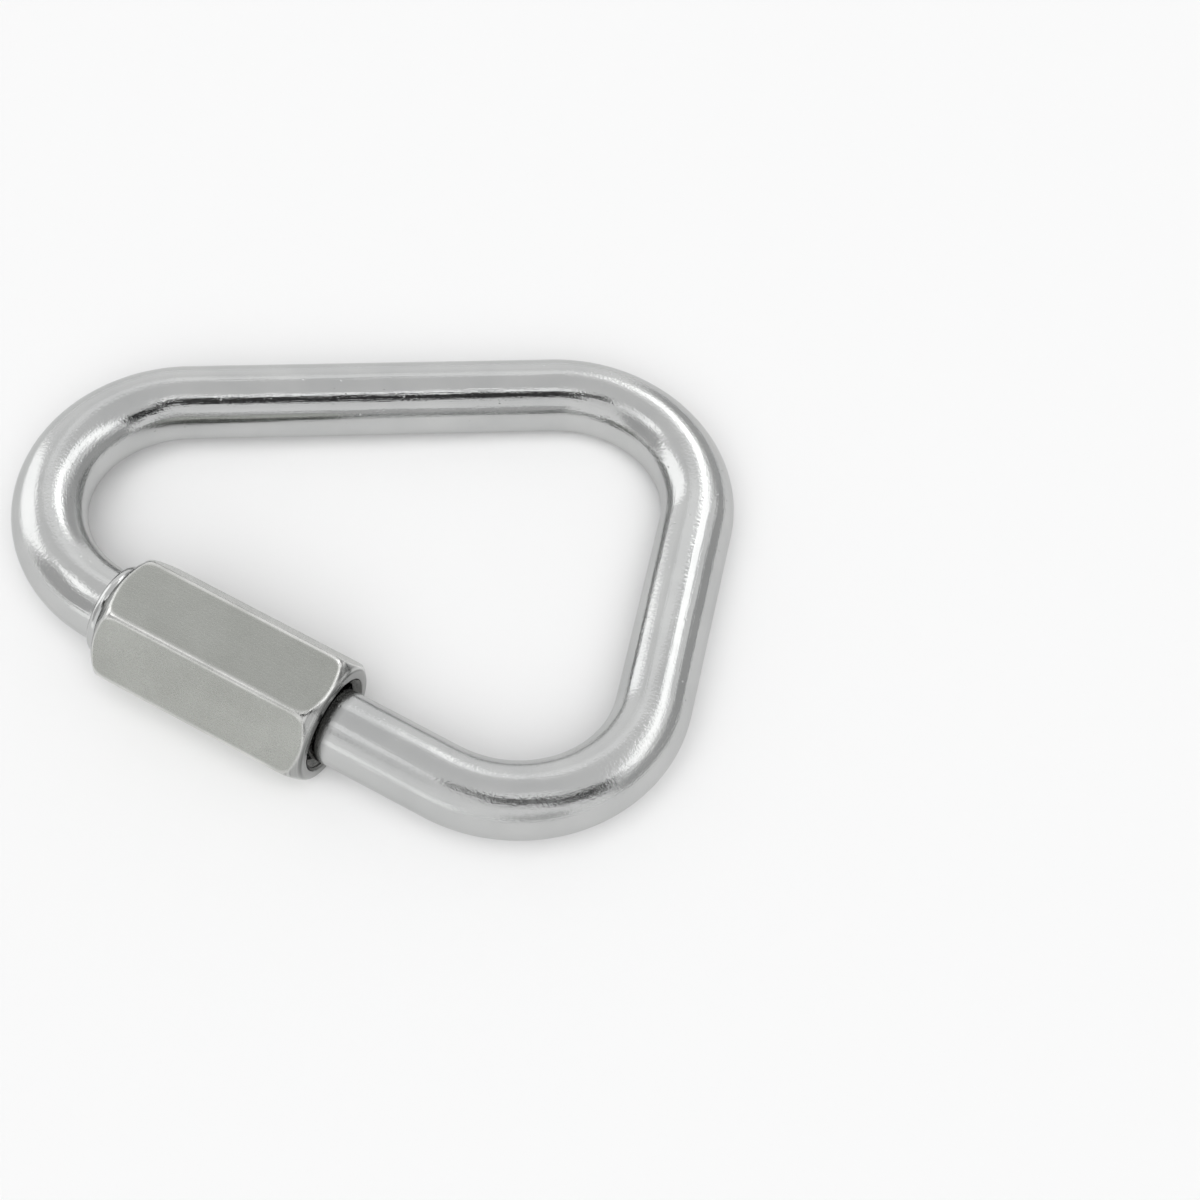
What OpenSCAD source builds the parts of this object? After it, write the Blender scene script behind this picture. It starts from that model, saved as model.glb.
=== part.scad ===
// Triangular chain quick link: one bent round bar with a gap in one long leg,
// and a long hex sleeve nut that screws across the gap.
// Millimetres, +Z up, +X along the nut leg from the apex to the base.
// The link lies on the floor on one nut flat and on the outside of the far corner.

/* [Bar] */
// Bar diameter
bar_d = 8; // [7:0.1:8.4]
// Radius of all three bends, to the bar centre
bend_r = 14.65; // [10:0.05:24]
// Straight length of each long leg between its two bends
leg_straight = 40; // [38.5:0.5:60]
// Straight length of the base between its two bends
base_straight = 23.5; // [12:0.5:40]

/* [Stop collar] */
// Collar diameter, about that of the thickened bar end
collar_d = 10; // [9.8:0.1:10.4]
// Collar width along the bar, with a full round rim
collar_w = 1.4; // [1:0.1:2]
// From the end of the apex bend to the collar
collar_at = 0.4; // [0.2:0.1:1]
// Diameter of the plain seat beside the collar, where the countersink of the nut stops
seat_d = 9.6; // [9.3:0.05:9.7]
// Slack between the closed nut and the collar, and between its countersink and the seat
close_gap = 0.2; // [0.1:0.05:0.4]

/* [Thread] */
// Thread diameter over the crests, rolled on the thickened bar ends
thread_d = 10; // [9.8:0.05:10.1]
// Thread pitch
pitch = 1.25; // [1:0.25:1.25]
// Radial clearance between the two threads, both drawn at mid-depth
thread_gap = 0.05; // [0.02:0.01:0.08]
// Turns of thread that the closed nut covers on the short end
stub_turns = 3.6; // [3:0.2:4.4]
// Turns the nut makes from closed to fully open
open_turns = 11; // [10:1:11]
// Thread length on the far end, all of it under the closed nut
far_thread = 9; // [6:0.5:9.5]
// Chamfer on the two threaded tips
tip_chamfer = 0.8; // [0.3:0.1:1.2]

/* [Sleeve nut] */
// Spanner size, flat to flat
nut_af = 13; // [12.6:0.1:15]
// Nut length
nut_len = 25.4; // [25:0.1:26]
// Height taken off each long edge to soften it
edge_soft = 0.12; // [0.04:0.02:0.3]
// Diameter of the flat ring at each end
end_ring_d = 12.2; // [11.4:0.1:12.4]
// Slope of the turned end chamfers from the end face
end_slope = 42; // [25:1:50]
// Mouth diameter of the bore at each end
mouth_d = 10.3; // [10.15:0.05:10.6]
// Depth of the countersink at each mouth
mouth_depth = 0.7; // [0.5:0.1:1.2]

/* [Hidden] */
$fn = 96;
bar_r = bar_d / 2;
// Straights are a hair thinner than the bends and run a hair into them, for sound joints.
draw_step = 0.01;
lap = 0.05;

// The three bend centres make an isosceles triangle.
apex = 2 * asin(base_straight / 2 / leg_straight);
base_turn = 90 + apex / 2;
apex_c = [0, bend_r, 0];
near_c = [leg_straight, bend_r, 0];
far_c = [leg_straight * cos(apex), bend_r + leg_straight * sin(apex), 0];

// Stations along the nut leg, from the end of the apex bend.
collar_end = collar_at + collar_w;
nut_start = collar_end + close_gap;
stub_end = nut_start + stub_turns * pitch;
nut_travel = open_turns * pitch;
far_tip = nut_start + nut_travel;
far_thread_end = far_tip + far_thread;
runout = 0.6;

// Threads at mid-depth: half of the basic thread height off each side.
thread_mid_d = thread_d - 0.6495 * pitch;
bore_r = thread_mid_d / 2;
tip_r = bore_r - thread_gap;
seat_r = seat_d / 2;
seat_end = nut_start + mouth_depth * (mouth_d / 2 - seat_r) / (mouth_d / 2 - bore_r) - close_gap;

// Rest pose: the nut flat is down, and the bar leans until the far corner is down too.
far_reach = far_c[1] + bend_r;
lean = asin((nut_af / 2 - bar_r) / far_reach);
nut_corner = nut_af / sqrt(3) - edge_soft;
y_max = far_reach * cos(lean) + bar_r;
axis_at = [-leg_straight / 2, (nut_corner - y_max) / 2, nut_af / 2];

// Puts the nut leg's axis at its place above the floor.
module at_rest() {
    translate(axis_at)
        children();
}

// Turns a profile drawn as [radius, station] round the nut leg's axis.
module round_the_leg() {
    rotate([0, 90, 0])
        rotate_extrude()
            children();
}

// One bend of the bar about its centre, between two directions.
module bend(centre, from, to) {
    translate(centre)
        rotate([0, 0, from])
            rotate_extrude(angle = to - from)
                translate([bend_r, 0])
                    circle(d = bar_d);
}

// One straight of the bar, which leaves a bend along a heading and runs a little into the next.
module straight(centre, heading, length) {
    translate(centre)
        rotate([0, 0, heading])
            translate([-lap, -bend_r, 0])
                rotate([0, 90, 0])
                    cylinder(r = bar_r - draw_step, h = length + 2 * lap);
}

// Short end beside the apex: bar, stop collar, seat and chamfered threaded stub.
module gate_stub() {
    rim = collar_w / 2;
    round_the_leg()
        union() {
            polygon([
                [0, -lap],
                [bar_r - draw_step, -lap],
                [bar_r - draw_step, collar_at + rim],
                [seat_r, collar_at + rim],
                [seat_r, seat_end],
                [tip_r, seat_end],
                [tip_r, stub_end - tip_chamfer],
                [tip_r - tip_chamfer, stub_end],
                [0, stub_end]
            ]);
            translate([0, collar_at])
                square([collar_d / 2 - rim, collar_w]);
            translate([collar_d / 2 - rim, collar_at + rim])
                circle(r = rim);
        }
}

// Far end: chamfered threaded tip, thread run-out, then plain bar to the bend.
module gate_arm() {
    round_the_leg()
        polygon([
            [0, far_tip],
            [tip_r - tip_chamfer, far_tip],
            [tip_r, far_tip + tip_chamfer],
            [tip_r, far_thread_end],
            [bar_r - draw_step, far_thread_end + runout],
            [bar_r - draw_step, leg_straight + lap],
            [0, leg_straight + lap]
        ]);
}

// The bent bar, one piece from tip to tip.
module link_bar() {
    color([0.76, 0.77, 0.78])
        at_rest()
            rotate([-lean, 0, 0])
                union() {
                    gate_stub();
                    bend(apex_c, 90 + apex, 270);
                    straight(far_c, apex + 180, leg_straight);
                    bend(far_c, apex / 2, 90 + apex);
                    straight(near_c, base_turn, base_straight);
                    bend(near_c, -90, apex / 2);
                    gate_arm();
                }
}

// Turned outline of the nut: softened edges and a chamfer at each end.
module nut_turning() {
    drop = (nut_corner - end_ring_d / 2) * tan(end_slope);
    nut_end = nut_start + nut_len;
    polygon([
        [0, nut_start],
        [end_ring_d / 2, nut_start],
        [nut_corner, nut_start + drop],
        [nut_corner, nut_end - drop],
        [end_ring_d / 2, nut_end],
        [0, nut_end]
    ]);
}

// Bore through the nut with a countersink at each mouth.
module nut_bore() {
    nut_end = nut_start + nut_len;
    polygon([
        [0, nut_start - 1],
        [mouth_d / 2, nut_start - 1],
        [mouth_d / 2, nut_start],
        [bore_r, nut_start + mouth_depth],
        [bore_r, nut_end - mouth_depth],
        [mouth_d / 2, nut_end],
        [mouth_d / 2, nut_end + 1],
        [0, nut_end + 1]
    ]);
}

// The long hex nut, closed against the collar.
module sleeve_nut() {
    color([0.66, 0.67, 0.67])
        at_rest()
            difference() {
                intersection() {
                    translate([nut_start - 1, 0, 0])
                        rotate([90, 0, 90])
                            linear_extrude(nut_len + 2)
                                circle(d = 2 * nut_af / sqrt(3), $fn = 6);
                    round_the_leg()
                        nut_turning();
                }
                round_the_leg()
                    nut_bore();
            }
}

link_bar();
sleeve_nut();
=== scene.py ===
"""Looks for a triangular chain quick link: a bent polished bar and a long satin hex sleeve nut."""
import math

import bmesh
import bpy
from mathutils import Matrix, Vector

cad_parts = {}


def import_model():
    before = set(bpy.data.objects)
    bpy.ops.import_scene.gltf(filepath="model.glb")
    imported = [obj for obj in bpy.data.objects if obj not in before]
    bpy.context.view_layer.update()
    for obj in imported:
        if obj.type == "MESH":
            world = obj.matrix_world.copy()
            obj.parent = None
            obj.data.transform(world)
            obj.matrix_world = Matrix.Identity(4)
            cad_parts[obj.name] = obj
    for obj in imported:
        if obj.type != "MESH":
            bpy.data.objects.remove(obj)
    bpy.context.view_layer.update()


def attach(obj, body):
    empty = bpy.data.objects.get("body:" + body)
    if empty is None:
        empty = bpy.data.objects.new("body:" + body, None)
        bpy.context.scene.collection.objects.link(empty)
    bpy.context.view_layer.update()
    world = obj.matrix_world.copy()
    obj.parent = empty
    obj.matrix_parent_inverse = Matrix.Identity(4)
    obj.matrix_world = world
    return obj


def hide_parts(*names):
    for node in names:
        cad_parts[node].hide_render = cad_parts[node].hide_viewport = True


MM = 0.001

# Bar sizes, in millimetres, as in the part's source.
BAR_D = 8.0
BEND_R = 14.65
LEG = 40.0
BASE = 23.5

# Stop collar, and the seat that reaches a little way into the nut's mouth.
COLLAR_AT = 0.4
COLLAR_W = 1.4
COLLAR_D = 10.0
CLOSE_GAP = 0.2
SEAT_D = 9.6
SEAT_REACH = 0.24
SEAT_BREAK = 0.1

# Thread: crests and roots of the bar ends, the room to the nut's thread, turns and lengths.
PITCH = 1.25
BAR_CREST_R = 4.95
BAR_ROOT_R = 4.25
NUT_THREAD_ROOM = 0.08
TIP_FACE_R = 3.75
STUB_TURNS = 3.6
OPEN_TURNS = 11
FAR_THREAD = 9.0
RUN_OUT = 0.6
# Shares of half a pitch between which a flank rises.
FLANK_FOOT = 0.2
FLANK_HEAD = 0.84

# How far the end of one skin is tucked inside the next.
TUCK = 0.3
THREAD_TUCK = 0.2
BAR_TUCK = 0.02

# Nut sizes.
NUT_AF = 13.0
NUT_LEN = 25.4
NUT_EDGE_R = 0.65
EDGE_SOFT = 0.12
END_RING_D = 12.2
END_SLOPE = 42.0
RING_FILLET_R = 0.3
RING_FLAT_BACK = 0.25
MOUTH_D = 10.3
MOUTH_LIP_R = 0.15
# Tumbling wears the long edges rounder close to an end: from where, how far in, and by how much.
WORN_FROM = 0.9
WORN_REACH = 1.4
WORN_MORE = 1.1
# Width of the soft meeting of chamfer and flats, and of the line on it painted lighter, as edge wear and as
# a painted highlight.
END_SOFT = 0.42
END_LINE = 0.2
# Half width of the lighter band on a long edge, edge wear and a painted highlight, and the fade of the
# polish at its ends, in degrees.
RUBBED_HIGHLIGHT_HALF = 3.2
POLISH_FADE = 1.2

# Mesh of the nut: columns in degrees to each side of a corner, steps of the rows in
# millimetres, and a radius outside the nut for rows that no chamfer cuts.
CORNER_COLUMNS = (0.3, 0.65, 1.0, 1.4, 1.8, 2.3, 3.0, 4.0, 5.0, 6.0, 7.0, 8.0, 9.5, 13.0, 18.0, 24.0)
CHAMFER_STEP = 0.035
WORN_STEP = 0.14
PAST_CORNER = 0.3
UNCUT_R = 20.0

# Colours of the steel, darker and lighter, and of single places on it.
BAR_STEEL = ((0.50, 0.507, 0.505, 1), (0.56, 0.565, 0.56, 1))
BAR_RIM_TINT = (0.8, 0.8, 0.8, 1)
# Painted shade: the bar is darkened beside the nut's mouth, where it goes into the nut.
MOUTH_SHADE = (0.1, 0.1, 0.096, 1)
# Thread colour: an oil coat, darkened further as painted shade so the bore's mouth stays dark.
THREAD_OIL_AND_SHADE = ((0.25, 0.25, 0.24, 1), (0.37, 0.37, 0.36, 1))
NUT_FLATS = ((0.362, 0.369, 0.347, 1), (0.41, 0.418, 0.395, 1))
# Turned ends: real turning rings, painted darker overall as shade for the dark reflection at the nut's ends.
LATHE_MARKS_AND_SHADE = ((0.17, 0.172, 0.168, 1), (0.5, 0.505, 0.495, 1))
# Long edges and the chamfer line: lighter for edge wear, and as a painted highlight.
RUBBED_EDGE_AND_HIGHLIGHT = (0.71, 0.71, 0.695, 1)
FLOOR_WHITE = (0.95, 0.95, 0.95, 1)
PLAIN_WHITE = (1, 1, 1, 1)

# What each kind of wear adds to the roughness.
SCUFF_DULL = 0.06
BEND_DULL = 0.045
HANDLED_DULL = 0.06
TURNED_DULL = -0.13
RUBBED_DULL = -0.08
# Height of the grain on straight bar, what a bend adds to it, and what turning takes off the nut's.
STRAIGHT_GRAIN = 0.5
BEND_GRAIN = 0.6
TURNED_GRAIN = -0.75

# The middle of a noise, where most of its values lie.
NOISE_LOW = 0.3
NOISE_HIGH = 0.7

# Surround: its level as seen, low down and overhead, and the light it gives, all round and from
# beside the camera, where most of it comes from so that the shadow stays small.
SURROUND_LOW = 1.0
SURROUND_TOP = 0.8
LIGHT_AROUND = 0.45
LIGHT_FRONT = 3.4
FRONT_SIDE = (0.213, -0.489, 0.846)
# Heights between which the surround changes, and cosines between which the front light rises.
LOW_UP_TO = 0.42
TOP_FROM = 0.9
FRONT_WIDE = 0.8
FRONT_NARROW = 0.96

# Studio panels that the metal reflects: azimuth and elevation in degrees, width and height at
# one metre, and level. Azimuth 0 is -Y and 90 is +X.
STUDIO_PANELS = {
    "back_lamp": (-173, 41, 0.24, 0.28, 2.6),
    "back_wash": (-147, 47, 0.5, 0.26, 1.12),
    "side_lamp": (145, 48, 1.2, 0.27, 1.85),
    "left_lamp": (-92, 20, 0.66, 0.7, 1.7),
    "high_lamp": (-64, 55, 0.32, 0.2, 1.75),
    "top_lamp": (38, 72, 0.5, 0.1, 1.6),
    "front_lamp": (-42, 60, 0.35, 0.2, 1.2),
    "low_lamp": (-15, 5, 0.7, 0.25, 1.3),
    "front_left_card": (-45, 27, 0.7, 0.66, 0.56),
    "front_right_card": (44, 7, 0.5, 0.42, 0.58),
    "camera_top": (5, 65.5, 0.36, 0.2, 0.03),
    "camera_hood": (40, 57.5, 0.46, 0.335, 0.02),
    "camera_side": (74, 43, 0.5, 0.3, 0.02),
    "camera_low": (80, 29, 0.22, 0.2, 0.2),
    "right_card": (122, 12, 1.45, 0.55, 0.5),
    "back_card": (174, 13, 0.6, 0.5, 0.55),
}
FLOOR_HALF = 4

# Camera of the photograph, in millimetres: about 58 degrees above the floor, with a slight roll.
CAMERA_AT = (78.00, -123.09, 224.27)
CAMERA_RIGHT = (0.87327, 0.48357, 0.05971)
CAMERA_UP = (-0.43826, 0.72600, 0.52996)
CAMERA_BACK = (0.21292, -0.48898, 0.84592)
CAMERA_LENS = 73.51
CAMERA_SENSOR = 36

# Stations along the nut leg, from the end of the apex bend.
COLLAR_MID = COLLAR_AT + COLLAR_W / 2
NUT_START = COLLAR_AT + COLLAR_W + CLOSE_GAP
NUT_END = NUT_START + NUT_LEN
SEAT_END = NUT_START + SEAT_REACH
STUB_END = NUT_START + STUB_TURNS * PITCH
FAR_TIP = NUT_START + OPEN_TURNS * PITCH
FAR_THREAD_END = FAR_TIP + FAR_THREAD

# Bends, the lean that brings the far corner down to the floor, and the place of the nut leg.
APEX = 2 * math.asin(BASE / 2 / LEG)
APEX_ARC = BEND_R * (math.pi - APEX)
BASE_ARC = BEND_R * (math.pi + APEX) / 2
FAR_REACH = 2 * BEND_R + LEG * math.sin(APEX)
LEAN = math.asin((NUT_AF / 2 - BAR_D / 2) / FAR_REACH)
HEX_CORNER = NUT_AF / math.sqrt(3)
Y_MAX = FAR_REACH * math.cos(LEAN) + BAR_D / 2
AXIS_AT = Vector((-LEG / 2, (HEX_CORNER - EDGE_SOFT - Y_MAX) / 2, NUT_AF / 2))


def leg_to_row():
    """Nut-leg frame in millimetres to the row frame in metres, without the bar's lean."""
    return Matrix.Scale(MM, 4) @ Matrix.Translation(AXIS_AT)


def bar_to_row():
    """Bar plane in millimetres to the row frame in metres, leaning until the far corner is down."""
    return leg_to_row() @ Matrix.Rotation(-LEAN, 4, "X")


# Node helpers


class Tree:
    """Short calls for building a node tree."""

    def __init__(self, tree):
        self.tree = tree

    def node(self, kind, inputs=None, **settings):
        """A new node with its settings, and with values or links on its inputs."""
        made = self.tree.nodes.new(kind)
        for name, value in settings.items():
            setattr(made, name, value)
        for key, value in (inputs or {}).items():
            self.put(value, made.inputs[key])
        return made

    def put(self, value, socket):
        """Links a socket to another socket, or gives it a plain value."""
        if isinstance(value, bpy.types.NodeSocket):
            self.tree.links.new(value, socket)
        else:
            socket.default_value = value

    def math(self, operation, a, b=0.0, c=0.0):
        return self.node("ShaderNodeMath", {0: a, 1: b, 2: c}, operation=operation).outputs[0]

    def ramp(self, x, low, high, start=0.0, end=1.0):
        """Goes evenly from start where x is low to end where x is high."""
        return self.node("ShaderNodeMapRange", {
            "Value": x, "From Min": low, "From Max": high, "To Min": start, "To Max": end}).outputs[0]

    def blend(self, x, low, high):
        """Rises softly from 0 where x is low to 1 where x is high."""
        made = self.node("ShaderNodeMapRange", {"Value": x, "From Min": low, "From Max": high},
                         interpolation_type="SMOOTHSTEP")
        return made.outputs[0]

    def split(self, vector):
        """X, Y and Z of a vector, by name."""
        return self.node("ShaderNodeSeparateXYZ", {0: vector}).outputs

    def vector(self, x, y, z):
        return self.node("ShaderNodeCombineXYZ", {"X": x, "Y": y, "Z": z}).outputs[0]


def geometry_tree(name, sockets):
    """A new Geometry Nodes tree with named inputs, and its helper, input node and output socket."""
    tree = bpy.data.node_groups.new(name, "GeometryNodeTree")
    for label, kind, value in sockets:
        socket = tree.interface.new_socket(name=label, in_out="INPUT", socket_type=kind)
        if value is not None:
            socket.default_value = value
    tree.interface.new_socket(name="Geometry", in_out="OUTPUT", socket_type="NodeSocketGeometry")
    t = Tree(tree)
    return t, t.node("NodeGroupInput").outputs, t.node("NodeGroupOutput").inputs["Geometry"]


def finish_tree(t, geometry, material, output):
    """Smooth shading, real geometry and a material, on to the tree's output."""
    smooth = t.node("GeometryNodeSetShadeSmooth", {"Geometry": geometry})
    real = t.node("GeometryNodeRealizeInstances", {"Geometry": smooth.outputs[0]})
    painted = t.node("GeometryNodeSetMaterial", {"Geometry": real.outputs[0], "Material": material})
    t.put(painted.outputs[0], output)


def grown(name, t, values):
    """Runs a tree once with these input values and returns the result as a plain mesh."""
    host = bpy.data.objects.new(name, bpy.data.meshes.new(name))
    bpy.context.scene.collection.objects.link(host)
    modifier = host.modifiers.new(name, "NODES")
    modifier.node_group = t.tree
    for item in t.tree.interface.items_tree:
        if item.in_out == "INPUT" and item.name in values:
            modifier[item.identifier] = values[item.name]
    bpy.context.view_layer.update()
    ready = host.evaluated_get(bpy.context.evaluated_depsgraph_get())
    mesh = bpy.data.meshes.new_from_object(ready)
    host.modifiers.clear()
    bpy.data.objects.remove(host)
    return mesh


# Geometry Nodes trees


def marked(t, geometry, name, value, kind):
    """Stores a value on the points of a curve, for a material to read."""
    return t.node("GeometryNodeStoreNamedAttribute", {"Geometry": geometry, "Name": name, "Value": value},
                  data_type=kind, domain="POINT").outputs[0]


def bent_bar_tree():
    """Round bar swept along a path with rounded corners."""
    stops = ("Stub End", "Apex Corner", "Far Corner", "Near Corner", "Arm End")
    t, ins, out = geometry_tree("bent_bar", [(stop, "NodeSocketVector", None) for stop in stops] + [
        ("Bar Diameter", "NodeSocketFloat", BAR_D),
        ("Bend Radius", "NodeSocketFloat", BEND_R),
        ("Bend Steps", "NodeSocketInt", 96),
        ("Ring Spacing", "NodeSocketFloat", 0.35),
        ("Sides", "NodeSocketInt", 72),
        ("Material", "NodeSocketMaterial", None)])
    points = t.node("GeometryNodeMeshLine", {"Count": len(stops)})
    pick = t.node("GeometryNodeIndexSwitch", data_type="VECTOR")
    while len(pick.index_switch_items) < len(stops):
        pick.index_switch_items.new()
    t.put(t.node("GeometryNodeInputIndex").outputs[0], pick.inputs["Index"])
    for k, stop in enumerate(stops):
        t.put(ins[stop], pick.inputs[k + 1])
    placed = t.node("GeometryNodeSetPosition", {"Geometry": points.outputs[0], "Position": pick.outputs[0]})
    line = t.node("GeometryNodeMeshToCurve", {"Mesh": placed.outputs[0]})
    bent = t.node("GeometryNodeFilletCurve", {
        "Curve": line.outputs[0], "Count": ins["Bend Steps"], "Radius": ins["Bend Radius"]}, mode="POLY")
    even = t.node("GeometryNodeResampleCurve", {
        "Curve": bent.outputs[0], "Length": ins["Ring Spacing"]}, mode="LENGTH")
    along = t.node("GeometryNodeSplineParameter").outputs["Length"]
    path = marked(t, even.outputs[0], "along", along, "FLOAT")
    radius = t.math("MULTIPLY", ins["Bar Diameter"], 0.5)
    ring = t.node("GeometryNodeCurvePrimitiveCircle", {"Resolution": ins["Sides"], "Radius": radius})
    around = t.node("GeometryNodeInputPosition").outputs[0]
    profile = marked(t, ring.outputs[0], "around", around, "FLOAT_VECTOR")
    swept = t.node("GeometryNodeCurveToMesh", {"Curve": path, "Profile Curve": profile})
    finish_tree(t, swept.outputs[0], ins["Material"], out)
    return t


def rolled_thread_tree():
    """A right-hand thread about X, as one wrapped grid: on a bar end with its tip, or in a bore.

    A bore has a Mouth Radius, and its two mouths are opened to it. A bar end has none.
    """
    t, ins, out = geometry_tree("rolled_thread", [
        ("Start", "NodeSocketFloat", 0.0),
        ("Length", "NodeSocketFloat", 5.0),
        ("Heading", "NodeSocketFloat", 1.0),
        ("Pitch", "NodeSocketFloat", PITCH),
        ("Crest Radius", "NodeSocketFloat", BAR_CREST_R),
        ("Root Radius", "NodeSocketFloat", BAR_ROOT_R),
        ("Tip Face Radius", "NodeSocketFloat", TIP_FACE_R),
        ("Run Out", "NodeSocketFloat", 1.0),
        ("Run Out Radius", "NodeSocketFloat", BAR_D / 2),
        ("Mouth Radius", "NodeSocketFloat", 0.0),
        ("Rows", "NodeSocketInt", 128),
        ("Columns", "NodeSocketInt", 97),
        ("Seam Gap", "NodeSocketFloat", 0.0005),
        ("Material", "NodeSocketMaterial", None)])
    reach = t.math("ADD", ins["Length"], ins["Tip Face Radius"])
    grid = t.node("GeometryNodeMeshGrid", {
        "Size X": reach, "Size Y": math.tau, "Vertices X": ins["Rows"], "Vertices Y": ins["Columns"]})
    flat = t.split(t.node("GeometryNodeInputPosition").outputs[0])
    walked = t.math("ADD", flat["X"], t.math("MULTIPLY", reach, 0.5))
    turn = t.math("ADD", flat["Y"], math.pi)
    station = t.math("MINIMUM", walked, ins["Length"])
    x = t.math("MULTIPLY_ADD", station, ins["Heading"], ins["Start"])

    # Ridge and groove, fading in from the plain shank over the run-out.
    phase = t.math("SUBTRACT", t.math("DIVIDE", x, ins["Pitch"]), t.math("DIVIDE", turn, math.tau))
    wave = t.math("MULTIPLY", t.math("ABSOLUTE", t.math("SUBTRACT", t.math("FRACT", phase), 0.5)), 2.0)
    ridge = t.ramp(wave, FLANK_FOOT, FLANK_HEAD)
    depth = t.math("SUBTRACT", ins["Crest Radius"], ins["Root Radius"])
    thread = t.math("MULTIPLY_ADD", ridge, depth, ins["Root Radius"])
    begun = t.blend(walked, 0.0, ins["Run Out"])
    shank = t.math("MULTIPLY", t.math("SUBTRACT", 1.0, begun), ins["Run Out Radius"])
    rolled = t.math("MULTIPLY_ADD", thread, begun, shank)

    # A bar end is cut to its tip, and a bore is opened at both mouths.
    cut = t.math("MINIMUM", rolled, t.math("SUBTRACT", reach, walked))
    near_mouth = t.math("SUBTRACT", ins["Mouth Radius"], walked)
    far_mouth = t.math("SUBTRACT", ins["Mouth Radius"], t.math("SUBTRACT", ins["Length"], walked))
    opened = t.math("MAXIMUM", rolled, t.math("MAXIMUM", near_mouth, far_mouth))
    is_bore = t.math("GREATER_THAN", ins["Mouth Radius"], 0.0)
    is_bar = t.math("SUBTRACT", 1.0, is_bore)
    radius = t.math("ADD", t.math("MULTIPLY", opened, is_bore), t.math("MULTIPLY", cut, is_bar))
    y = t.math("MULTIPLY", radius, t.math("COSINE", turn))
    z = t.math("MULTIPLY", radius, t.math("SINE", turn))
    wrapped = t.node("GeometryNodeSetPosition", {
        "Geometry": grid.outputs["Mesh"], "Position": t.vector(x, y, z)})
    joined = t.node("GeometryNodeMergeByDistance", {
        "Geometry": wrapped.outputs[0], "Distance": ins["Seam Gap"]})
    finish_tree(t, joined.outputs[0], ins["Material"], out)
    return t


# Meshes


def lathe(profile, columns):
    """Turns (station, radius) points round X and returns a bmesh."""
    made = bmesh.new()
    turns = [math.tau * k / columns for k in range(columns)]
    rings = []
    for station, radius in profile:
        rings.append([made.verts.new((station, radius * math.cos(a), radius * math.sin(a))) for a in turns])
    skin(made, rings)
    return made


def skin(made, rings):
    """Faces between rings of vertices that run round X, facing outwards."""
    for low, high in zip(rings, rings[1:]):
        for k in range(len(low)):
            after = (k + 1) % len(low)
            made.faces.new((low[k], low[after], high[after], high[k]))


def collar_profile(steps=48):
    """Full-round rim of the stop collar, then the plain seat that the nut stops on, its edge broken."""
    rim = COLLAR_W / 2
    seat = SEAT_D / 2
    small = 0.2 * SEAT_BREAK
    points = [(COLLAR_AT - small, BAR_D / 2 - TUCK)]
    for k in range(steps + 1):
        a = math.pi * k / steps
        station = COLLAR_MID - rim * math.cos(a)
        radius = COLLAR_D / 2 - rim + rim * math.sin(a)
        if station < COLLAR_MID or radius > seat:
            points.append((station, radius))
    foot = points[-1][0]
    points += [(foot + 0.3 * SEAT_BREAK, seat), (foot + 0.6 * SEAT_BREAK, seat)]
    points += [(SEAT_END - 1.2 * SEAT_BREAK, seat), (SEAT_END - 0.8 * SEAT_BREAK, seat)]
    points += [(SEAT_END - small, seat - 0.6 * SEAT_BREAK), (SEAT_END, seat - SEAT_BREAK)]
    points.append((SEAT_END + small, BAR_ROOT_R - THREAD_TUCK))
    return points


def edge_rounding(station):
    """Radius of the long edges at a distance from the nut's end."""
    from_end = min(station, NUT_LEN - station)
    near = min(1.0, max(0.0, 1 - (from_end - WORN_FROM) / WORN_REACH))
    return NUT_EDGE_R + WORN_MORE * near ** 2


def from_corner(turn):
    """Angle to the nearest corner of the hexagon; corners at 0, 60, 120 degrees and so on."""
    return abs((turn + math.pi / 6) % (math.pi / 3) - math.pi / 6)


def corner_round(edge_r):
    """Distance from the axis to the centre of a corner's rounding, and its half angle from the axis."""
    inner = (NUT_AF / 2 - edge_r) * 2 / math.sqrt(3)
    return inner, math.atan2(edge_r / 2, inner + edge_r * math.cos(math.pi / 6))


def hex_radius(turn, edge_r):
    """Distance from the axis to a hexagon with round corners."""
    off = from_corner(turn)
    inner, half = corner_round(edge_r)
    if off < half:
        return inner * math.cos(off) + math.sqrt(edge_r ** 2 - (inner * math.sin(off)) ** 2)
    return NUT_AF / 2 / math.cos(math.pi / 6 - off)


def soft_min(a, b, width):
    """The smaller of two radii, rounded where they meet."""
    h = max(width - abs(a - b), 0.0) / width
    return min(a, b) - h * h * width / 4


def corner_wear_and_highlight(turn, edge_r):
    """1 on a long edge of the nut, falling to 0 beside it, for edge wear painted lighter as a highlight, and
    the polish of the rounder patch at an end.
    """
    patch = corner_round(edge_r)[1] - corner_round(NUT_EDGE_R)[1]
    off = from_corner(turn)
    rubbed_highlight = max(0.0, 1 - ((off - patch) / math.radians(RUBBED_HIGHLIGHT_HALF)) ** 2)
    polish = min(1.0, max(0.0, (patch - off) / math.radians(POLISH_FADE)))
    return rubbed_highlight, polish


def nut_columns():
    """Angles round the nut, close together at the six edges."""
    side = [math.radians(d) for d in CORNER_COLUMNS]
    turns = []
    for k in range(6):
        corner = k * math.pi / 3
        turns += [corner - a for a in reversed(side)]
        turns.append(corner)
        turns += [corner + a for a in side]
        turns.append(corner + math.pi / 6)
    return turns


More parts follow.
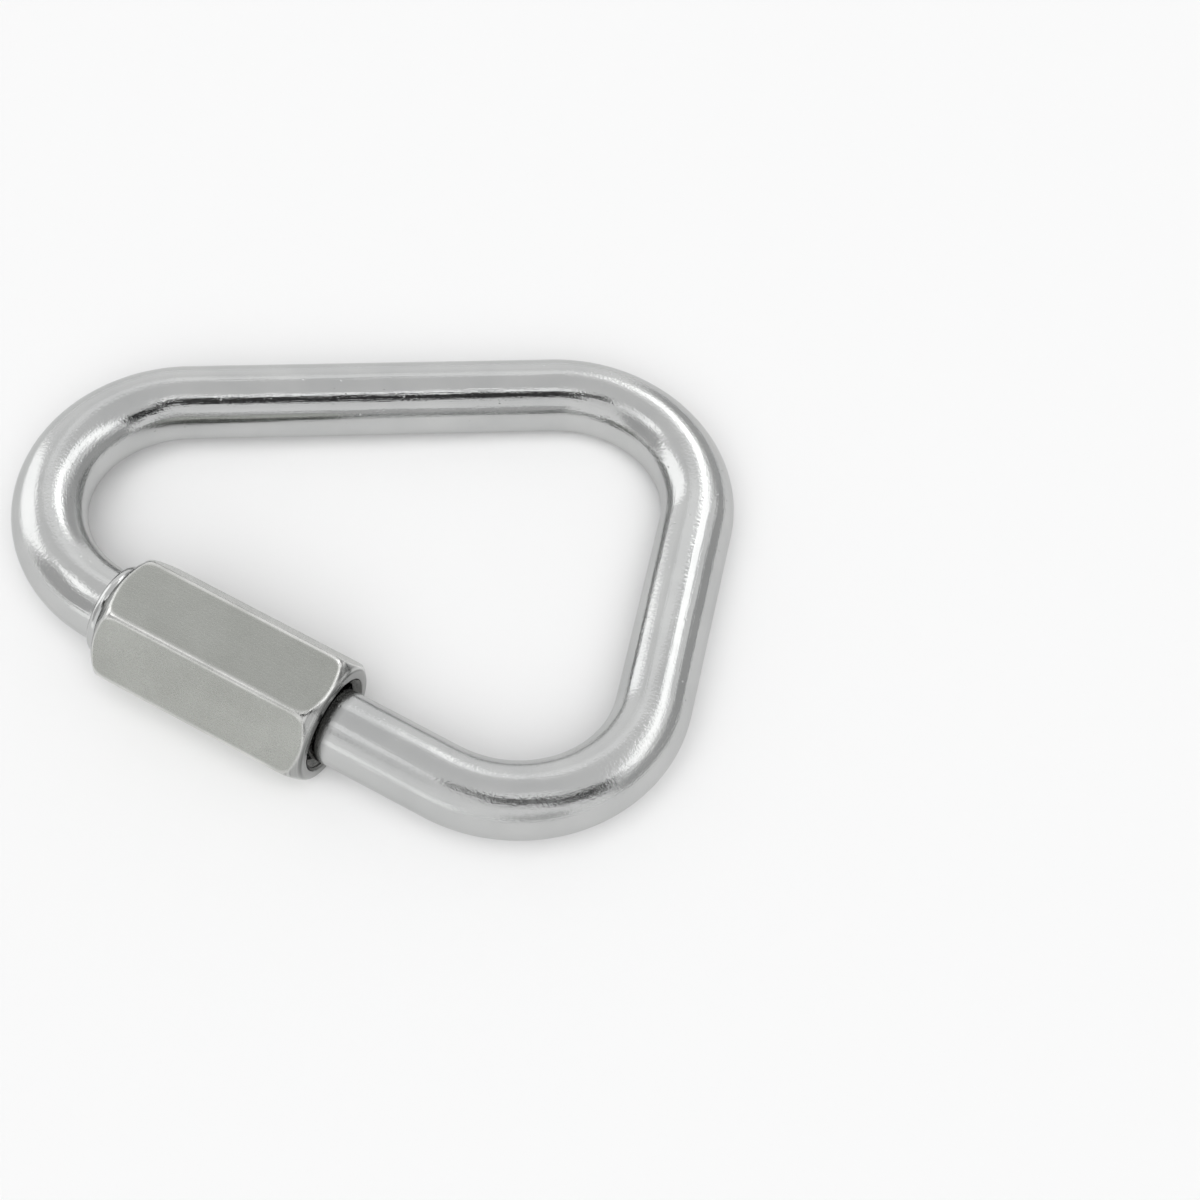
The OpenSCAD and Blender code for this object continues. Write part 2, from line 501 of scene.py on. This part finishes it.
def nut_end_rows(lip_steps=5, flat_steps=4, fillet_steps=6):
    """(station, radius) from the mouth edge over the end ring and up the turned chamfer."""
    slope = math.radians(END_SLOPE)
    ring = END_RING_D / 2
    flat_from = MOUTH_D / 2 + MOUTH_LIP_R
    flat = ring - RING_FLAT_BACK - flat_from
    rows = []
    for k in range(lip_steps + 1):
        a = math.pi / 2 * k / lip_steps
        rows.append((MOUTH_LIP_R * (1 - math.sin(a)), flat_from - MOUTH_LIP_R * math.cos(a)))
    rows += [(0.0, flat_from + flat * k / flat_steps) for k in range(1, flat_steps)]
    fillet_from = ring - RING_FILLET_R * math.tan(slope / 2)
    for k in range(fillet_steps + 1):
        a = slope * k / fillet_steps
        rows.append((RING_FILLET_R * (1 - math.cos(a)), fillet_from + RING_FILLET_R * math.sin(a)))
    station, radius = rows[-1]
    while radius < HEX_CORNER + PAST_CORNER:
        radius += CHAMFER_STEP
        station += CHAMFER_STEP * math.tan(slope)
        rows.append((station, radius))
    return rows


def nut_rows(worn_steps=9, middle_steps=12):
    """(station, radius) from mouth to mouth; the radius is where a chamfer or an end cuts."""
    end = nut_end_rows()
    chamfer_top = end[-1][0]
    end += [(chamfer_top + WORN_STEP * k, UNCUT_R) for k in range(1, worn_steps + 1)]
    top = end[-1][0]
    step = (NUT_LEN - 2 * top) / middle_steps
    middle = [(top + step * k, UNCUT_R) for k in range(1, middle_steps)]
    return end + middle + [(NUT_LEN - s, r) for s, r in reversed(end)]


def nut_skin():
    """Outer skin of the nut from mouth to mouth, with its long edges (wear and painted highlight) and turned
    ends marked.
    """
    turns = nut_columns()
    made = bmesh.new()
    wear_and_highlight = made.verts.layers.float.new("edge")
    turned = made.verts.layers.float.new("turned")
    rings = []
    for station, radius in nut_rows():
        ring = []
        edge_r = edge_rounding(station)
        for a in turns:
            flat = hex_radius(a, edge_r)
            r = soft_min(flat, radius, END_SOFT)
            rubbed_highlight, polish = corner_wear_and_highlight(a, edge_r)
            vert = made.verts.new((NUT_START + station, r * math.cos(a), r * math.sin(a)))
            # Long edges and the line where chamfer meets flats are marked for the painted highlight, partly
            # edge wear.
            vert[wear_and_highlight] = max(rubbed_highlight if radius > flat else 0.0, 1 - abs(flat - radius) / END_LINE, 0.0)
            vert[turned] = 1.0 if radius < flat else polish
            ring.append(vert)
        rings.append(ring)
    skin(made, rings)
    return made


def as_mesh(made):
    """A plain mesh from a bmesh, which is freed."""
    mesh = bpy.data.meshes.new("turned")
    made.to_mesh(mesh)
    made.free()
    return mesh


def finished(name, parts, place, materials):
    """Joins meshes, each with its material's number, into one object with its place in its mesh."""
    objects = []
    for mesh, index in parts:
        mesh.transform(place)
        mesh.materials.clear()
        for material in materials:
            mesh.materials.append(material)
        mesh.polygons.foreach_set("material_index", [index] * len(mesh.polygons))
        mesh.polygons.foreach_set("use_smooth", [True] * len(mesh.polygons))
        made = bpy.data.objects.new(name, mesh)
        bpy.context.scene.collection.objects.link(made)
        objects.append(made)
    with bpy.context.temp_override(active_object=objects[0], selected_editable_objects=objects):
        bpy.ops.object.join()
    objects[0].name = name
    objects[0].data.name = name
    return objects[0]


# Materials


def new_material(name):
    """A metal material, its tree helper and its shader."""
    made = bpy.data.materials.new(name)
    made.use_nodes = True
    made.node_tree.nodes.clear()
    t = Tree(made.node_tree)
    out = t.node("ShaderNodeOutputMaterial")
    shader = t.node("ShaderNodeBsdfPrincipled", {"Metallic": 1.0})
    t.put(shader.outputs[0], out.inputs["Surface"])
    return made, t, shader


def object_place(t):
    return t.node("ShaderNodeTexCoord").outputs["Object"]


def stretched(t, place, scale):
    """Coordinates scaled by a different amount along each axis."""
    return t.node("ShaderNodeMapping", {"Vector": place, "Scale": scale}).outputs[0]


def noise(t, place, scale=1.0, detail=2.0, roughness=0.5):
    return t.node("ShaderNodeTexNoise", {
        "Vector": place, "Scale": scale, "Detail": detail, "Roughness": roughness}).outputs[0]


def spread(t, pattern, low, high):
    """Spreads the middle of a noise over low to high."""
    return t.ramp(pattern, NOISE_LOW, NOISE_HIGH, low, high)


def colour_mix(t, share, first, second):
    """The first colour where share is 0, the second where it is 1."""
    made = t.node("ShaderNodeMix", data_type="RGBA")
    t.put(share, made.inputs[0])
    t.put(first, made.inputs[6])
    t.put(second, made.inputs[7])
    return made.outputs[2]


def two_tone(t, pattern, colours):
    """A noise spread over a darker and a lighter colour."""
    return colour_mix(t, spread(t, pattern, 0.0, 1.0), *colours)


def relief(t, height, depth, under=None):
    """Bump whose depth is in millimetres, on top of another bump."""
    made = t.node("ShaderNodeBump", {"Height": height, "Strength": 1.0, "Distance": depth * MM})
    if under is not None:
        t.put(under, made.inputs["Normal"])
    return made.outputs[0]


def attribute(t, name, output="Fac"):
    return t.node("ShaderNodeAttribute", attribute_name=name).outputs[output]


def pits(t, place, scale, share):
    """Small round pits, in a share of the cells of a Voronoi pattern."""
    cells = t.node("ShaderNodeTexVoronoi", {"Vector": place, "Scale": scale}).outputs
    dot = t.blend(cells["Distance"], low=0.14, high=0.05)
    chosen = t.math("LESS_THAN", t.split(cells["Color"])["X"], share)
    return t.math("MULTIPLY", dot, chosen)


def drawn_lines(t, along, slowness=0.04):
    """Noise stretched along the bar, from the sweep's own attributes."""
    around = t.split(attribute(t, "around", "Vector"))
    place = t.vector(t.math("MULTIPLY", along, slowness), around["X"], around["Y"])
    return noise(t, place, scale=3.4, detail=3.0, roughness=0.6)


def bent_stretches(t, along, before=2, inside=4):
    """1 in the three bends of the bar, fading out into the straights."""
    start = COLLAR_MID
    total = None
    for arc, straight in ((APEX_ARC, LEG), (BASE_ARC, BASE), (BASE_ARC, 0)):
        end = start + arc
        entered = t.blend(along, start - before, start + inside)
        left = t.blend(along, end - inside, end + before)
        bent = t.math("SUBTRACT", entered, left)
        total = bent if total is None else t.math("ADD", total, bent)
        start = end + straight
    return total


def near_leg_wear_and_shade(t, along, before=2, inside=10, shade_from=1.5, shade_full=0.1):
    """A dull stretch from the near bend on, a mark of use, and painted shade on the bar beside the nut's
    mouth.
    """
    bend_start = COLLAR_MID + APEX_ARC + LEG + BASE_ARC + BASE
    mouth = bend_start + BASE_ARC + LEG - NUT_END
    handled = t.blend(along, bend_start - before, bend_start + inside)
    mouth_shaded = t.blend(along, mouth - shade_from, mouth - shade_full)
    return handled, mouth_shaded


def polished_bar_steel():
    """Drawn bar, bent, then tumbled bright: soft waves, draw lines and a grain, coarser in the bends."""
    made, t, shader = new_material("polished_bar_steel")
    place = object_place(t)
    along = attribute(t, "along")
    bent = bent_stretches(t, along)
    handled, mouth_shaded = near_leg_wear_and_shade(t, along)
    waves = noise(t, place, scale=300.0, detail=1.0)
    grain = noise(t, place, scale=3400.0, detail=2.0, roughness=0.6)
    clouds = noise(t, place, scale=130.0, detail=3.0)
    scuffs = t.blend(noise(t, place, scale=260.0, detail=4.0, roughness=0.65), low=0.56, high=0.74)
    # Painted shade on the bar beside the nut's mouth, cloudy at its edge.
    mouth_shade = t.math("MULTIPLY", mouth_shaded, spread(t, clouds, low=0.6, high=1.0))
    colour = colour_mix(t, mouth_shade, two_tone(t, clouds, BAR_STEEL), MOUTH_SHADE)
    t.put(colour, shader.inputs["Base Color"])
    rough = t.math("MULTIPLY_ADD", scuffs, SCUFF_DULL, spread(t, grain, low=0.06, high=0.11))
    rough = t.math("MULTIPLY_ADD", bent, BEND_DULL, rough)
    t.put(t.math("MULTIPLY_ADD", handled, HANDLED_DULL, rough), shader.inputs["Roughness"])
    t.put(BAR_RIM_TINT, shader.inputs["Specular Tint"])
    wavy = relief(t, waves, depth=0.016)
    lined = relief(t, drawn_lines(t, along), depth=0.016, under=wavy)
    coarse = t.math("MULTIPLY", grain, t.math("MULTIPLY_ADD", bent, BEND_GRAIN, STRAIGHT_GRAIN))
    grained = relief(t, coarse, depth=0.02, under=lined)
    specks = t.math("MULTIPLY", pits(t, place, scale=900.0, share=0.35), -1.0)
    t.put(relief(t, specks, depth=0.02, under=grained), shader.inputs["Normal"])
    return made


def rolled_thread_steel():
    """Rolled thread flanks: duller, darker for an oil coat and as painted shade that keeps the bore's mouth
    dark, with fine marks round the axis.
    """
    made, t, shader = new_material("rolled_thread_steel")
    marks = noise(t, stretched(t, object_place(t), (9000.0, 700.0, 700.0)))
    t.put(two_tone(t, marks, THREAD_OIL_AND_SHADE), shader.inputs["Base Color"])
    t.put(spread(t, marks, low=0.2, high=0.36), shader.inputs["Roughness"])
    t.put(relief(t, marks, depth=0.008), shader.inputs["Normal"])
    return made


def satin_nut_steel():
    """Tumbled hex bar: even satin flats with a fine grain, edges painted bright as wear and highlight, and
    turned ends painted darker as turning marks and shade.
    """
    made, t, shader = new_material("satin_nut_steel")
    place = object_place(t)
    rolling = noise(t, stretched(t, place, (420.0, 4600.0, 4600.0)), detail=3.0, roughness=0.6)
    rings = noise(t, stretched(t, place, (4200.0, 60.0, 60.0)), detail=1.0)
    grain = noise(t, place, scale=5600.0, detail=2.0, roughness=0.6)
    clouds = noise(t, place, scale=190.0, detail=4.0, roughness=0.6)
    patchy = spread(t, noise(t, place, scale=300.0, detail=3.0), low=0.45, high=1.0)
    edge = t.math("MULTIPLY", attribute(t, "edge"), patchy)
    turned = attribute(t, "turned")
    # Turned ends take the darker ring colour: turning marks, and painted shade.
    ends = colour_mix(t, turned, two_tone(t, clouds, NUT_FLATS), two_tone(t, rings, LATHE_MARKS_AND_SHADE))
    # Painted highlight on the long edges and chamfer line, partly edge wear.
    t.put(colour_mix(t, edge, ends, RUBBED_EDGE_AND_HIGHLIGHT), shader.inputs["Base Color"])
    dull = t.math("MULTIPLY_ADD", turned, TURNED_DULL, spread(t, grain, low=0.21, high=0.31))
    t.put(t.math("MULTIPLY_ADD", edge, RUBBED_DULL, dull), shader.inputs["Roughness"])
    cut = relief(t, t.math("MULTIPLY", rings, turned), depth=0.04)
    lined = relief(t, rolling, depth=0.012, under=cut)
    fine = t.math("MULTIPLY", grain, t.math("MULTIPLY_ADD", turned, TURNED_GRAIN, 1.0))
    t.put(relief(t, fine, depth=0.014, under=lined), shader.inputs["Normal"])
    return made


# Pieces


def build_bar(bar_tree, thread_tree, polished, thread_steel):
    """The bent bar with its collar and seat, and the threads on its two ends."""
    long_side = BEND_R / math.tan(APEX / 2)
    short_side = BEND_R / math.tan(math.pi / 4 - APEX / 4)
    side = LEG + long_side + short_side
    sweep = grown("bent_bar", bar_tree, {
        "Stub End": (COLLAR_MID, 0, 0),
        "Apex Corner": (-long_side, 0, 0),
        "Far Corner": (-long_side + side * math.cos(APEX), side * math.sin(APEX), 0),
        "Near Corner": (LEG + short_side, 0, 0),
        "Arm End": (FAR_THREAD_END + RUN_OUT / 2, 0, 0),
        "Material": polished})
    stub = grown("stub_thread", thread_tree, {
        "Start": COLLAR_MID,
        "Length": STUB_END - COLLAR_MID,
        "Heading": 1.0,
        "Run Out": COLLAR_W / 2 + RUN_OUT / 2,
        "Run Out Radius": BAR_ROOT_R,
        "Rows": 150,
        "Material": thread_steel})
    arm = grown("arm_thread", thread_tree, {
        "Start": FAR_THREAD_END + RUN_OUT,
        "Length": FAR_THREAD_END + RUN_OUT - FAR_TIP,
        "Heading": -1.0,
        "Run Out": 2 * RUN_OUT,
        "Run Out Radius": BAR_D / 2 - BAR_TUCK,
        "Rows": 200,
        "Material": thread_steel})
    arm.flip_normals()
    collar = as_mesh(lathe(collar_profile(), columns=96))
    bar = finished("link_bar_steel", [(sweep, 0), (collar, 0), (stub, 1), (arm, 1)], bar_to_row(),
                   [polished, thread_steel])
    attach(bar, "bar")
    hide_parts("link_bar")
    return bar


def build_nut(thread_tree, satin, thread_steel):
    """The hex sleeve nut with its threaded bore."""
    bore = grown("nut_thread", thread_tree, {
        "Start": NUT_START,
        "Length": NUT_LEN,
        "Heading": 1.0,
        "Crest Radius": BAR_CREST_R + NUT_THREAD_ROOM,
        "Root Radius": BAR_ROOT_R + NUT_THREAD_ROOM,
        "Tip Face Radius": 0.0,
        "Run Out": 0.001,
        "Mouth Radius": MOUTH_D / 2,
        "Rows": 400,
        "Material": thread_steel})
    bore.flip_normals()
    outside = as_mesh(nut_skin())
    nut = finished("sleeve_nut_steel", [(outside, 0), (bore, 1)], leg_to_row(), [satin, thread_steel])
    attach(nut, "nut")
    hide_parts("sleeve_nut")
    return nut


# Stage


def plain_material(name, shader_node, inputs):
    """A material with one shader and nothing else, for the floor and the panels."""
    made = bpy.data.materials.new(name)
    made.use_nodes = True
    made.node_tree.nodes.clear()
    t = Tree(made.node_tree)
    shader = t.node(shader_node, inputs)
    t.put(shader.outputs[0], t.node("ShaderNodeOutputMaterial").inputs["Surface"])
    return made


def stage_sheet(name, corners, material):
    """A four-cornered sheet that belongs to the stage, not to the link."""
    mesh = bpy.data.meshes.new(name)
    mesh.from_pydata(corners, [], [(0, 1, 2, 3)])
    mesh.materials.append(material)
    sheet = bpy.data.objects.new(name, mesh)
    bpy.context.scene.collection.objects.link(sheet)
    return sheet


def seen_rays(t):
    """1 for what the camera sees, straight or in the metal."""
    path = t.node("ShaderNodeLightPath").outputs
    mirrored = t.math("MAXIMUM", path["Is Glossy Ray"], path["Is Transmission Ray"])
    return t.math("MAXIMUM", path["Is Camera Ray"], mirrored)


def build_floor():
    """White sheet that keeps a soft shadow."""
    white = plain_material("pale_floor", "ShaderNodeBsdfDiffuse", {"Color": FLOOR_WHITE})
    h = FLOOR_HALF
    stage_sheet("floor", [(-h, -h, 0), (h, -h, 0), (h, h, 0), (-h, h, 0)], white)


def build_panels():
    """Lamps and dark cards, a metre from the link and square to it. Only the metal shows them."""
    for name, (azimuth, elevation, width, height, level) in STUDIO_PANELS.items():
        a = math.radians(azimuth)
        e = math.radians(elevation)
        out = Vector((math.sin(a) * math.cos(e), -math.cos(a) * math.cos(e), math.sin(e)))
        across = Vector((math.cos(a), math.sin(a), 0)) * width / 2
        upward = across.normalized().cross(-out) * height / 2
        low = out - upward
        high = out + upward
        glow = plain_material(name, "ShaderNodeEmission", {"Color": PLAIN_WHITE, "Strength": level})
        sheet = stage_sheet(name, [low - across, low + across, high + across, high - across], glow)
        sheet.visible_camera = False
        sheet.visible_diffuse = False
        sheet.visible_shadow = False


def build_world():
    """Pale surround: white as the camera and the metal see it. Most of its light comes from the front."""
    world = bpy.data.worlds.new("studio")
    bpy.context.scene.world = world
    world.use_nodes = True
    t = Tree(world.node_tree)
    toward = t.node("ShaderNodeTexCoord").outputs["Generated"]
    seen = t.ramp(t.split(toward)["Z"], LOW_UP_TO, TOP_FROM, SURROUND_LOW, SURROUND_TOP)
    facing = t.node("ShaderNodeVectorMath", {0: toward, 1: FRONT_SIDE}, operation="DOT_PRODUCT")
    light = t.ramp(facing.outputs["Value"], FRONT_WIDE, FRONT_NARROW, LIGHT_AROUND, LIGHT_FRONT)
    change = t.math("SUBTRACT", seen, light)
    background = world.node_tree.nodes["Background"]
    t.put(PLAIN_WHITE, background.inputs["Color"])
    t.put(t.math("MULTIPLY_ADD", seen_rays(t), change, light), background.inputs["Strength"])


def build_camera():
    """Puts the camera where the photograph was taken from."""
    data = bpy.data.cameras.new("photo_camera")
    data.sensor_width = CAMERA_SENSOR
    data.lens = CAMERA_LENS
    data.clip_start = 0.01
    data.clip_end = 20
    camera = bpy.data.objects.new("photo_camera", data)
    turn = Matrix((CAMERA_RIGHT, CAMERA_UP, CAMERA_BACK)).transposed().to_4x4()
    camera.matrix_world = Matrix.Translation(Vector(CAMERA_AT) * MM) @ turn
    bpy.context.scene.collection.objects.link(camera)
    bpy.context.scene.camera = camera


def main():
    """Loads the solids, dresses both pieces and sets the stage."""
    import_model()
    bpy.context.scene.view_settings.view_transform = "Standard"
    bar_tree = bent_bar_tree()
    thread_tree = rolled_thread_tree()
    thread_steel = rolled_thread_steel()
    build_bar(bar_tree, thread_tree, polished_bar_steel(), thread_steel)
    build_nut(thread_tree, satin_nut_steel(), thread_steel)
    build_floor()
    build_panels()
    build_world()
    build_camera()


main()
